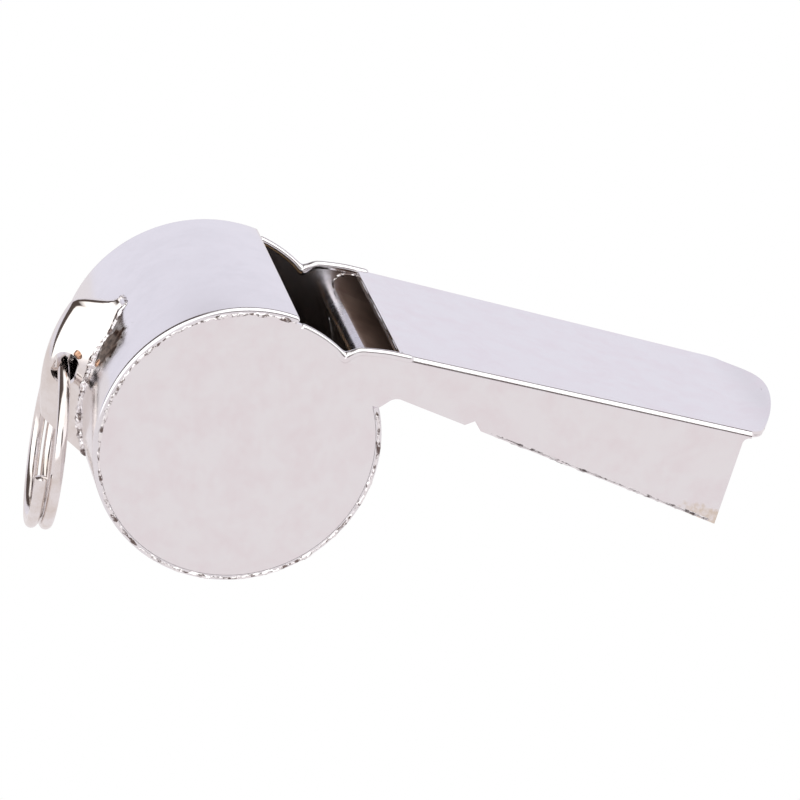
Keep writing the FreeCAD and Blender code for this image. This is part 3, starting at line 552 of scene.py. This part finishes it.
# ------------------------------------------------------------------------------- edges of the sheet
# Deburred edges round the sound window. The plate's edge follows the seat under the barrel's strip, in
# degrees, and turns up at the notch, where it swells a little.
EDGE_FIRST, EDGE_LAST = 80, 58
EDGE_INSET = SHEET * DEBURR
BAND_SEAT = SHEET + 0.02
NOTCH = (5.62, 8.16)
NOTCH_SWELL, NOTCH_REACH = 0.45, 0.9
ROOF_REAR = 9.57
ABOVE_NOTCH = ((5.95, 8.38), (6.5, 8.76), (7.3, 8.92), (8.6, 9.06), (9.6, 9.08), (10.6, 9.08))
PLATE_RIM, ROOF_RIM, LIP_RIM = SHEET * 0.7, SHEET * 0.6, SHEET * DEBURR
EDGE_PIECES, FILLET_PIECES = 6, 24
ROOF_STEPS = 60
# The turned-up lip: a roll out of the roof, with a crowned front edge between two round corners.
LIP_START, LIP_FRONT, LIP_ROLL, LIP_CROWN, LIP_CORNER, LIP_INSET = 37.15, 39.95, 3.7, 16.0, 1.5, 0.36
LIP_PROUD, LIP_SINK = 0.02, SHEET * 0.6
LIP_CORNER_STEPS, LIP_FRONT_STEPS = 12, 40
# Braze in the windway's rear corners.
FILLET_ROUTE = ((8.35, 7.35), (8.15, 7.9), (8.4, 8.45), (9.0, 8.72), (9.8, 8.78))
FILLET_BEAD = 0.17


def make_plate_edge(side, hand):
    barrel_edge = BARREL - BAND_SEAT - EDGE_INSET
    corners = [polar(barrel_edge, angle) for angle in range(EDGE_FIRST, EDGE_LAST - 1, -1)]
    profile = smooth([*corners, NOTCH, *ABOVE_NOTCH], EDGE_PIECES)
    path = [place(x, hand * (side_at(x) - SHEET / 2), z) for x, z in profile]
    away = [(Vector(spot) - Vector(NOTCH)).length for spot in profile]
    swell = [1 + NOTCH_SWELL * max(1 - distance / NOTCH_REACH, 0) ** 2 for distance in away]
    points, faces = loft(tube(path, PLATE_RIM, share=swell))
    edge = solid("plate_edge_" + side, points, faces, [SHELL])
    hand_over(edge, "whistle", "plated_sheet")


def make_roof_edge():
    x = ROOF_REAR + EDGE_INSET
    half = side_at(x) - SHEET
    path = [place(x, half * (2 * i / ROOF_STEPS - 1), ROOF - SHEET / 2) for i in range(ROOF_STEPS + 1)]
    points, faces = loft(tube(path, ROOF_RIM, rough=0.25, grain=1.1))
    edge = solid("roof_edge", points, faces, [SHELL])
    hand_over(edge, "whistle", "plated_sheet")


def make_lip_edge():
    inset = LIP_RIM - LIP_PROUD
    corner_y = side_at(LIP_START) - LIP_INSET - LIP_CORNER
    centre_x = LIP_FRONT - LIP_CROWN
    corner_x = centre_x + math.sqrt((LIP_CROWN - LIP_CORNER) ** 2 - corner_y ** 2)
    meet = math.atan2(corner_y, corner_x - centre_x)
    start = math.acos((LIP_START - corner_x) / LIP_CORNER)
    plan = []
    for i in range(LIP_CORNER_STEPS):
        angle = start + (meet - start) * i / LIP_CORNER_STEPS
        reach = LIP_CORNER - inset
        plan.append((corner_x + reach * math.cos(angle), corner_y + reach * math.sin(angle)))
    for i in range(LIP_FRONT_STEPS + 1):
        angle = meet * (1 - i / LIP_FRONT_STEPS)
        reach = LIP_CROWN - inset
        plan.append((centre_x + reach * math.cos(angle), reach * math.sin(angle)))
    plan += [(x, -y) for x, y in reversed(plan[:-1])]
    path = []
    for x, y in plan:
        rise = LIP_ROLL - math.sqrt(LIP_ROLL ** 2 - max(x - LIP_START, 0) ** 2)
        path.append(place(x, y, ROOF + rise - LIP_SINK))
    points, faces = loft(tube(path, LIP_RIM, rough=0.2, grain=1.6))
    edge = solid("lip_edge", points, faces, [SHEARED])
    hand_over(edge, "whistle", "plated_sheet")


def make_windway_fillet(side, hand):
    path = [place(x, hand * (side_at(x) - SHEET), z) for x, z in smooth(FILLET_ROUTE, FILLET_PIECES)]
    points, faces = loft(tube(path, FILLET_BEAD, sides=10, rough=0.9, grain=1.9, seed=hand * 5.0, tip=2.0))
    bead = solid("windway_fillet_" + side, points, faces, [BRAZE])
    hand_over(bead, "whistle", "braze")


for side, hand in HANDS:
    make_plate_edge(side, hand)
make_roof_edge()
make_lip_edge()
for side, hand in HANDS:
    make_windway_fillet(side, hand)

# -------------------------------------------------------------------------------------------- the lug
# A pressed peak with a soft ridge, an eye across it and a slanting cut foot. Angles go round the barrel.
LUG_TOP, LUG_SHOULDER, LUG_CUT, LUG_FOOT = 149.0, 160.0, 198.5, 213.5
LUG_HALF, LUG_RISE, LUG_FALL, LUG_SHEET = 2.5, 2.88, 0.45, 0.4
LUG_STEPS, FLANK_STEPS = 48, 20
LUG_OVERRUN = 6
LUG_ROOT = BARREL - 0.6 * SHEET
TOP_WIDTH, TOP_RISE = 0.3, 0.15
CUT_RISE = 0.9
RIDGE, RIDGE_ROUND = 1.1, 0.6
EYE_ANGLE, EYE_RISE, EYE_WIDTH, EYE_HEIGHT = 179.3, 1.45, 1.7, 2.4
EYE_STEPS = 48
# Its bead: radius, gap to the flank, lift, then thinner over a span of angles below the shoulder.
LUG_BEAD, BEAD_GAP, BEAD_LIFT = 0.38, 0.17, 0.02
BEAD_THIN, BEAD_SPAN = 0.5, 14
# Degrees: short of the foot, past the top along the flank, from the top to its turn, and the turn's crown.
BEAD_SHORT, BEAD_PAST, BEAD_TOP, BEAD_CROWN = 0.8, 0.5, 1.0, 1.2
BEAD_STEPS, BEAD_TURN_STEPS = 150, 24
# Two spots of bare copper: angle, place across and radius, with how far they sink and how lumpy they are.
COPPER_SPOTS = ((172.6, -1.85, 0.34), (169.6, -4.1, 0.4))
SPOT_SINK, SPOT_LUMP, SPOT_GRAIN = 0.62, 0.35, 3


def lug_size(angle):
    """Half the lug's width, and its rise above the barrel."""
    share = ease((angle - LUG_TOP) / (LUG_SHOULDER - LUG_TOP))
    drop = LUG_FALL * ease((angle - LUG_SHOULDER) / (LUG_FOOT - LUG_SHOULDER))
    half = LUG_HALF * (TOP_WIDTH + (1 - TOP_WIDTH) * share)
    return half, LUG_RISE * (TOP_RISE + (1 - TOP_RISE) * share) - drop


def flank(share):
    """Height as part of the rise, from the rounded ridge (0) down to a foot (1 or -1)."""
    fall = math.hypot(share, RIDGE_ROUND) - RIDGE_ROUND
    whole = math.hypot(1, RIDGE_ROUND) - RIDGE_ROUND
    return 1 - fall ** RIDGE / whole ** RIDGE


def lug_rings(start, inset):
    """Cross-sections of the lug, or of the room under it with an inset."""
    rings = []
    for i in range(LUG_STEPS + 1):
        angle = start + (LUG_FOOT + LUG_OVERRUN - start) * i / LUG_STEPS
        half, rise = lug_size(angle)
        keep = 1 - inset * math.hypot(half, rise) / (half * rise)
        ring = []
        for k in range(2 * FLANK_STEPS + 1):
            share = k / FLANK_STEPS - 1
            x, z = polar(BARREL + rise * keep * flank(share), angle)
            ring.append(place(x, half * keep * share, z))
        for share in (1, -1):
            x, z = polar(LUG_ROOT, angle)
            ring.append(place(x, half * keep * share, z))
        rings.append(ring)
    return rings


def prism(name, outline):
    """Cutter across the lug, from a profile outline."""
    rings = [[place(x, y, z) for x, z in outline] for y in (-2 * LUG_HALF, 2 * LUG_HALF)]
    points, faces = loft(rings)
    return solid(name, points, faces, [LUG])


def foot_cutter():
    high = Vector(polar(BARREL + CUT_RISE * LUG_RISE, LUG_CUT))
    low = Vector(polar(BARREL, LUG_FOOT))
    run = (low - high).normalized() * 2 * LUG_RISE
    below = Vector((run.y, -run.x))
    if below.y > 0:
        below = -below
    corners = [high - run, low + run, low + run + below, high - run + below]
    return prism("lug_foot_cut", [tuple(corner) for corner in corners])


def eye_cutter():
    centre = Vector(polar(BARREL + EYE_RISE, EYE_ANGLE))
    up = Vector(polar(1, EYE_ANGLE - 90))
    outward = Vector(polar(1, EYE_ANGLE))
    outline = []
    for i in range(EYE_STEPS):
        turned = 2 * math.pi * i / EYE_STEPS
        shift = (EYE_HEIGHT - EYE_WIDTH) / 2 * (1 if math.sin(turned) >= 0 else -1)
        along = up * (shift + EYE_WIDTH / 2 * math.sin(turned))
        outline.append(tuple(centre + along + outward * (EYE_WIDTH / 2 * math.cos(turned))))
    return prism("lug_eye", outline)


def make_lug():
    points, faces = loft(lug_rings(LUG_TOP, 0))
    lug = solid("lug_pressing", points, faces, [LUG])
    # The room under the lug is cut with a solid in the chamber's painted-shade material.
    points, faces = loft(lug_rings(LUG_TOP + LUG_OVERRUN, LUG_SHEET))
    cutters = [solid("lug_inside", points, faces, [INSIDE]), foot_cutter(), eye_cutter()]
    for cutter in cutters:
        cut = lug.modifiers.new(cutter.name, "BOOLEAN")
        cut.operation = "DIFFERENCE"
        cut.solver = "EXACT"
        cut.object = cutter
    graph = bpy.context.evaluated_depsgraph_get()
    made = bpy.data.meshes.new_from_object(lug.evaluated_get(graph))
    lug.modifiers.clear()
    lug.data = made
    for cutter in cutters:
        bpy.data.objects.remove(cutter)
    soften(made, CREASE)
    hand_over(lug, "whistle", "plated_sheet", "ring_lug")


def bead_route():
    """Angles and places across of the bead: up one foot, round the top and down the other."""
    rise_part = []
    for i in range(BEAD_STEPS + 1):
        angle = LUG_FOOT - BEAD_SHORT + (LUG_TOP - BEAD_PAST - LUG_FOOT) * i / BEAD_STEPS
        rise_part.append((angle, lug_size(angle)[0] + BEAD_GAP))
    half = rise_part[-1][1]
    top_part = []
    for i in range(1, BEAD_TURN_STEPS):
        turned = math.pi * i / BEAD_TURN_STEPS
        top_part.append((LUG_TOP - BEAD_TOP - BEAD_CROWN * math.sin(turned), half * math.cos(turned)))
    return rise_part + top_part + [(angle, -y) for angle, y in reversed(rise_part)]


def copper_spot(angle, y, size):
    """Points and faces of a lumpy drop, sunk in the surface."""
    half, rise = lug_size(angle)
    x, z = polar(BARREL + rise * max(flank(y / half), 0) - size * SPOT_SINK, angle)
    drop = bmesh.new()
    bmesh.ops.create_icosphere(drop, subdivisions=3, radius=size * MM)
    for corner in drop.verts:
        lump = SPOT_LUMP * noise.noise(corner.co / MM * SPOT_GRAIN)
        corner.co = corner.co * (1 + lump) + place(x, y, z)
    points = [corner.co.copy() for corner in drop.verts]
    faces = [tuple(corner.index for corner in face.verts) for face in drop.faces]
    drop.free()
    return points, faces


def make_lug_seam():
    route = bead_route()
    path = []
    for angle, y in route:
        x, z = polar(BARREL + BEAD_LIFT, angle)
        path.append(place(x, y, z))
    share = [BEAD_THIN + (1 - BEAD_THIN) * ease((angle - LUG_SHOULDER) / BEAD_SPAN) for angle, _ in route]
    points, faces = loft(tube(path, LUG_BEAD, rough=0.8, grain=1.7, tip=1.6, share=share))
    choice = [0] * len(faces)
    for spot in COPPER_SPOTS:
        spot_points, spot_faces = copper_spot(*spot)
        join(points, faces, spot_points, spot_faces)
        choice += [1] * len(spot_faces)
    bead = solid("lug_bead", points, faces, [BRAZE, COPPER], choice)
    hand_over(bead, "whistle", "braze", "lug_seam")


make_lug()
make_lug_seam()

# ------------------------------------------------------------------------------------ ring and ball
# Split ring: one coiled wire through the eye, which hangs by its lean and is turned by its yaw. Its turns
# lie a step apart, and its first and last degrees are the wire's lengths to either side of the eye.
WIRE_RADIUS = 0.45
RING_OUTSIDE = 13.2
RING_STEP = 1.06
RING_FIRST, RING_LAST = 264.0, 272.0
RING_LEAN, RING_YAW = math.radians(98.0), math.radians(4.0)
RING_STEPS = 540
# Cork ball: scale, threshold and strength of its large and small pores and scale of its waves. Depths are
# parts of the radius.
PORES = ((1.7, 0.18, 1.0), (4.1, 0.1, 0.6))
PORE_DEPTH, BALL_WAVE_DEPTH, BALL_WAVE_SCALE = 0.05, 0.004, 0.6


def make_ring():
    coil = RING_OUTSIDE / 2 - WIRE_RADIUS
    x, z = polar(1, EYE_ANGLE)
    outward = Vector((x, 0, z))
    x, z = polar(1, EYE_ANGLE + 90)
    downward = Vector((x, 0, z))
    fall = outward * math.cos(RING_LEAN) + downward * math.sin(RING_LEAN)
    across = Vector((0, 1, 0))
    facing = across.cross(fall)
    if facing.dot(outward) > 0:
        facing = -facing
    sideways = across * math.cos(RING_YAW) + facing * math.sin(RING_YAW)
    axis = facing * math.cos(RING_YAW) - across * math.sin(RING_YAW)
    x, z = polar(BARREL + EYE_RISE, EYE_ANGLE)
    eye = Vector((x, 0, z))
    path = []
    for i in range(RING_STEPS + 1):
        progress = (RING_FIRST + RING_LAST) * i / RING_STEPS
        around = math.radians(RING_FIRST - progress)
        spot = eye + fall * (coil * (1 - math.cos(around))) + sideways * (coil * math.sin(around))
        spot += axis * (RING_STEP * (progress - RING_FIRST) / 360)
        path.append(place(*spot))
    points, faces = loft(tube(path, WIRE_RADIUS, sides=28, tip=0.16))
    ring = solid("ring_coil", points, faces, [WIRE], crease=60)
    hand_over(ring, "ring", "ring_wire", "split_ring")


def make_ball():
    low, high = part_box("cork_ball")
    low, high = Vector(low), Vector(high)
    centre = (low + high) / 2
    radius = (high.z - low.z) / 2
    work = bmesh.new()
    bmesh.ops.create_icosphere(work, subdivisions=6, radius=radius)
    for corner in work.verts:
        spot = corner.co / MM
        pore = sum(strength * max(noise.noise(spot * scale) - least, 0) for scale, least, strength in PORES)
        corner.co *= 1 - PORE_DEPTH * pore - BALL_WAVE_DEPTH * abs(noise.noise(spot * BALL_WAVE_SCALE))
        corner.co += centre
    mesh = bpy.data.meshes.new("ball")
    work.to_mesh(mesh)
    work.free()
    mesh.materials.append(CORK)
    for polygon in mesh.polygons:
        polygon.use_smooth = True
    hand_over(show("ball", mesh), "pea", "cork", "cork_ball")


make_ring()
make_ball()

# --------------------------------------------------------------------------------------------- studio
TABLE_REACH = 3.0
TABLE_DROP = 0.00002
TABLE_WHITE = (1, 1, 1, 1)
TABLE_CAST, TABLE_CAST_STRENGTH = (0.93, 0.885, 0.90, 1), 0.92
LAVENDER = (0.57, 0.56, 0.615)
DARK = (0.07, 0.055, 0.05)
PALE = (0.57, 0.54, 0.56)
WHITE = (1.0, 1.0, 1.0)
SKY_STRENGTH = 1.5
# Bands of the sky from the far horizon (0) over the top to the near horizon (1), on the mouthpiece's side
# and on the ring's side, blended in between.
FRONT_SKY = [
    (0.0, LAVENDER), (0.17, LAVENDER), (0.185, DARK), (0.31, DARK), (0.34, WHITE), (0.80, WHITE),
    (0.83, DARK), (0.93, DARK), (0.95, PALE), (1.0, PALE),
]
REAR_SKY = [
    (0.0, LAVENDER), (0.17, LAVENDER), (0.185, DARK), (0.50, DARK), (0.54, WHITE), (0.97, WHITE),
    (1.0, PALE),
]
SKY_BLEND = 0.15

SCENE.view_settings.view_transform = "Standard"


def make_table():
    """Pale table: white to the eye, a little rosy and darker in the reflections."""
    material = bpy.data.materials.new("pale_table")
    material.use_nodes = True
    tree = material.node_tree
    tree.nodes.clear()
    out = node(tree, "ShaderNodeOutputMaterial")
    path = node(tree, "ShaderNodeLightPath")
    seen = node(tree, "ShaderNodeEmission", Color=TABLE_WHITE, Strength=1.0)
    cast = node(tree, "ShaderNodeEmission", Color=TABLE_CAST, Strength=TABLE_CAST_STRENGTH)
    mix = node(tree, "ShaderNodeMixShader")
    tree.links.new(path.outputs["Is Camera Ray"], mix.inputs["Fac"])
    tree.links.new(cast.outputs["Emission"], mix.inputs[1])
    tree.links.new(seen.outputs["Emission"], mix.inputs[2])
    tree.links.new(mix.outputs["Shader"], out.inputs["Surface"])
    mesh = bpy.data.meshes.new("table")
    corners = [(x * TABLE_REACH, y * TABLE_REACH, 0) for x, y in ((-1, -1), (1, -1), (1, 1), (-1, 1))]
    mesh.from_pydata(corners, [], [(0, 1, 2, 3)])
    mesh.materials.append(material)
    table = show("table", mesh)
    table.location = (0, 0, -TABLE_DROP)


def make_sky():
    """Sky that only lights and shows in reflections; the camera sees plain white."""
    world = bpy.data.worlds.new("studio")
    SCENE.world = world
    world.use_nodes = True
    tree = world.node_tree
    tree.nodes.clear()
    link = tree.links.new
    out = node(tree, "ShaderNodeOutputWorld")
    path = node(tree, "ShaderNodeLightPath")
    where = node(tree, "ShaderNodeTexCoord")
    split = node(tree, "ShaderNodeSeparateXYZ")
    link(where.outputs["Generated"], split.inputs["Vector"])
    height = node(tree, "ShaderNodeMath", operation="ARCTAN2")
    link(split.outputs["Z"], height.inputs[0])
    link(split.outputs["Y"], height.inputs[1])
    share = node(tree, "ShaderNodeMath", operation="DIVIDE")
    share.inputs[1].default_value = math.pi
    link(height.outputs["Value"], share.inputs[0])
    front = ramp(tree, FRONT_SKY, share.outputs["Value"])
    rear = ramp(tree, REAR_SKY, share.outputs["Value"])
    ahead = node(tree, "ShaderNodeMapRange")
    ahead.inputs["From Min"].default_value = -SKY_BLEND
    ahead.inputs["From Max"].default_value = SKY_BLEND
    link(split.outputs["X"], ahead.inputs["Value"])
    sky = node(tree, "ShaderNodeMixRGB")
    link(ahead.outputs["Result"], sky.inputs["Fac"])
    link(rear.outputs["Color"], sky.inputs["Color1"])
    link(front.outputs["Color"], sky.inputs["Color2"])
    lit = node(tree, "ShaderNodeBackground", Strength=SKY_STRENGTH)
    link(sky.outputs["Color"], lit.inputs["Color"])
    seen = node(tree, "ShaderNodeBackground", Color=(*WHITE, 1))
    mix = node(tree, "ShaderNodeMixShader")
    link(path.outputs["Is Camera Ray"], mix.inputs["Fac"])
    link(lit.outputs["Background"], mix.inputs[1])
    link(seen.outputs["Background"], mix.inputs[2])
    link(mix.outputs["Shader"], out.inputs["Surface"])


make_table()
make_sky()

# --------------------------------------------------------------------------------------------- camera
# Place and directions in the whistle's profile: a long lens from the near side, behind and above.
CAMERA_SPOT = (-89.17, -339.12, 115.16)
CAMERA_RIGHT = (0.93707, -0.18509, 0.29603)
CAMERA_FORWARD = (0.27566, 0.91258, -0.30201)
CAMERA_LENS, CAMERA_SENSOR, CAMERA_NEAR = 227.25, 36.0, 0.01


def make_camera():
    data = bpy.data.cameras.new("camera")
    data.sensor_width = CAMERA_SENSOR
    data.lens = CAMERA_LENS
    data.clip_start = CAMERA_NEAR
    camera = show("camera", data)
    right = turn(*CAMERA_RIGHT).normalized()
    forward = turn(*CAMERA_FORWARD).normalized()
    up = right.cross(forward)
    spot = place(*CAMERA_SPOT)
    camera.matrix_world = Matrix((
        (right.x, up.x, -forward.x, spot.x),
        (right.y, up.y, -forward.y, spot.y),
        (right.z, up.z, -forward.z, spot.z),
        (0, 0, 0, 1),
    ))
    SCENE.camera = camera


make_camera()
